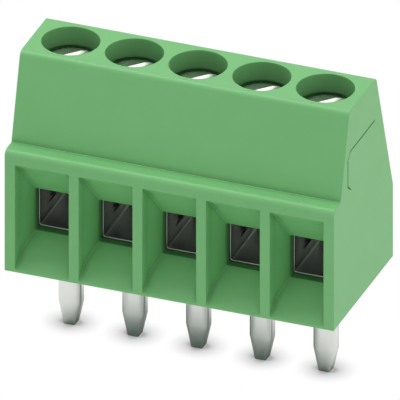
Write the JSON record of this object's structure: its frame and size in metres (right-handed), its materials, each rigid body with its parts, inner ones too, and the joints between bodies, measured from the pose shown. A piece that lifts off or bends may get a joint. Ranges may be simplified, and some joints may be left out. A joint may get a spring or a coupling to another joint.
{
  "type": "pcb screw terminal",
  "caption": "Row of screw clamps in one green moulded housing: wire funnels in front, screwdriver holes on top and flat solder pins below, for joining wires to a circuit board.",
  "frame": {"origin": "the middle solder pin's centre on the board's plane, which is the housing's underside", "axes": "+X along the row of poles, to the right as seen from the wire side; -Y towards the wire funnels; +Z from the board up to the screw heads"},
  "size_m": [0.0132, 0.0062, 0.012],
  "materials": {
    "moulded_polyamide": "fine satin, as moulded",
    "plated_steel_strip": "zinc plated strip, satin",
    "plated_steel_screw": "zinc plated, bright",
    "tinned_copper_alloy": "tin plated, satin bright"
  },
  "bodies": {
    "block": {"housing": "moulded_polyamide", "solder_contact_1": "tinned_copper_alloy", "solder_contact_2": "tinned_copper_alloy", "solder_contact_3": "tinned_copper_alloy", "solder_contact_4": "tinned_copper_alloy", "solder_contact_5": "tinned_copper_alloy"},
    "screw_1": {"clamp_screw_1": "plated_steel_screw"},
    "sleeve_1": {"clamp_sleeve_1": "plated_steel_strip"},
    "screw_2": {"clamp_screw_2": "plated_steel_screw"},
    "sleeve_2": {"clamp_sleeve_2": "plated_steel_strip"},
    "screw_3": {"clamp_screw_3": "plated_steel_screw"},
    "sleeve_3": {"clamp_sleeve_3": "plated_steel_strip"},
    "screw_4": {"clamp_screw_4": "plated_steel_screw"},
    "sleeve_4": {"clamp_sleeve_4": "plated_steel_strip"},
    "screw_5": {"clamp_screw_5": "plated_steel_screw"},
    "sleeve_5": {"clamp_sleeve_5": "plated_steel_strip"}
  },
  "joints": [
    {"name": "screw_turn_1", "type": "hinge", "parent": "block", "child": "screw_1", "pos_m": [-0.00508, -0.00006, 0.00774], "axis": [0, 0, -1], "range_deg": [0, 1800]},
    {"name": "sleeve_lift_1", "type": "slide", "parent": "block", "child": "sleeve_1", "axis": [0, 0, 1], "range_m": [0, 0.00175]},
    {"name": "screw_turn_2", "type": "hinge", "parent": "block", "child": "screw_2", "pos_m": [-0.00254, -0.00006, 0.00774], "axis": [0, 0, -1], "range_deg": [0, 1800]},
    {"name": "sleeve_lift_2", "type": "slide", "parent": "block", "child": "sleeve_2", "axis": [0, 0, 1], "range_m": [0, 0.00175]},
    {"name": "screw_turn_3", "type": "hinge", "parent": "block", "child": "screw_3", "pos_m": [0, -0.00006, 0.00774], "axis": [0, 0, -1], "range_deg": [0, 1800]},
    {"name": "sleeve_lift_3", "type": "slide", "parent": "block", "child": "sleeve_3", "axis": [0, 0, 1], "range_m": [0, 0.00175]},
    {"name": "screw_turn_4", "type": "hinge", "parent": "block", "child": "screw_4", "pos_m": [0.00254, -0.00006, 0.00774], "axis": [0, 0, -1], "range_deg": [0, 1800]},
    {"name": "sleeve_lift_4", "type": "slide", "parent": "block", "child": "sleeve_4", "axis": [0, 0, 1], "range_m": [0, 0.00175]},
    {"name": "screw_turn_5", "type": "hinge", "parent": "block", "child": "screw_5", "pos_m": [0.00508, -0.00006, 0.00774], "axis": [0, 0, -1], "range_deg": [0, 1800]},
    {"name": "sleeve_lift_5", "type": "slide", "parent": "block", "child": "sleeve_5", "axis": [0, 0, 1], "range_m": [0, 0.00175]}
  ],
  "couplings": [
    {"joint": "screw_turn_1", "follows": "sleeve_lift_1", "rad_per_m": 17952},
    {"joint": "screw_turn_2", "follows": "sleeve_lift_2", "rad_per_m": 17952},
    {"joint": "screw_turn_3", "follows": "sleeve_lift_3", "rad_per_m": 17952},
    {"joint": "screw_turn_4", "follows": "sleeve_lift_4", "rad_per_m": 17952},
    {"joint": "screw_turn_5", "follows": "sleeve_lift_5", "rad_per_m": 17952}
  ]
}
